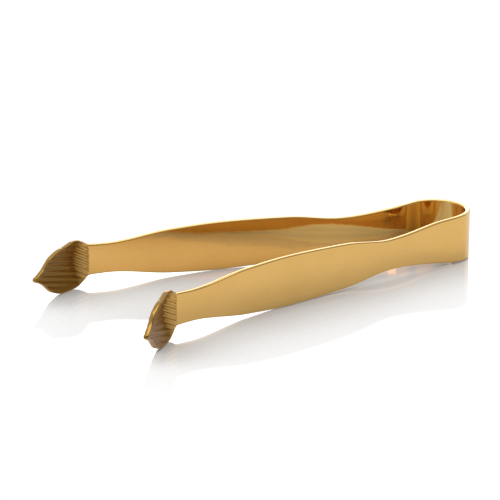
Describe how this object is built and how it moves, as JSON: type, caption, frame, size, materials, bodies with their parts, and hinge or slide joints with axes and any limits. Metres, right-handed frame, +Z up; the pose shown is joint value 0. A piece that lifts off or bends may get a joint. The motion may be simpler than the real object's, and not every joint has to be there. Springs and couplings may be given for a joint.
{
  "type": "ice tongs",
  "caption": "Bow-spring ice tongs of polished gold strip: a round sprung bow, waisted arms and fluted, cupped leaf claws that nest as they close and spring open again.",
  "frame": {"origin": "centre of the bounding box on the floor that the tongs stand on", "axes": "+X from the claws towards the bow, +Z up from the floor, the near arm on the -Y side; both claws bend to -Y"},
  "size_m": [0.1706, 0.0892, 0.0186],
  "materials": {
    "polished_gold": "mirror-polished gold plating on stainless spring steel"
  },
  "bodies": {
    "bow": {"bow_spring": "polished_gold"},
    "near_side": {"near_arm": "polished_gold", "near_claw": "polished_gold"},
    "far_side": {"far_arm": "polished_gold", "far_claw": "polished_gold"}
  },
  "joints": [
    {"name": "near_flex", "type": "hinge", "parent": "bow", "child": "near_side", "pos_m": [0.07038, -0.00373, 0.00928], "axis": [0, 0, 1], "range_deg": [-12.6, 0], "stiffness_Nm_per_rad": 1.2},
    {"name": "far_flex", "type": "hinge", "parent": "bow", "child": "far_side", "pos_m": [0.07038, 0.02176, 0.00928], "axis": [0, 0, 1], "range_deg": [0, 12.6], "stiffness_Nm_per_rad": 1.2}
  ],
  "couplings": [
    {"joint": "far_flex", "follows": "near_flex", "ratio": -1}
  ]
}
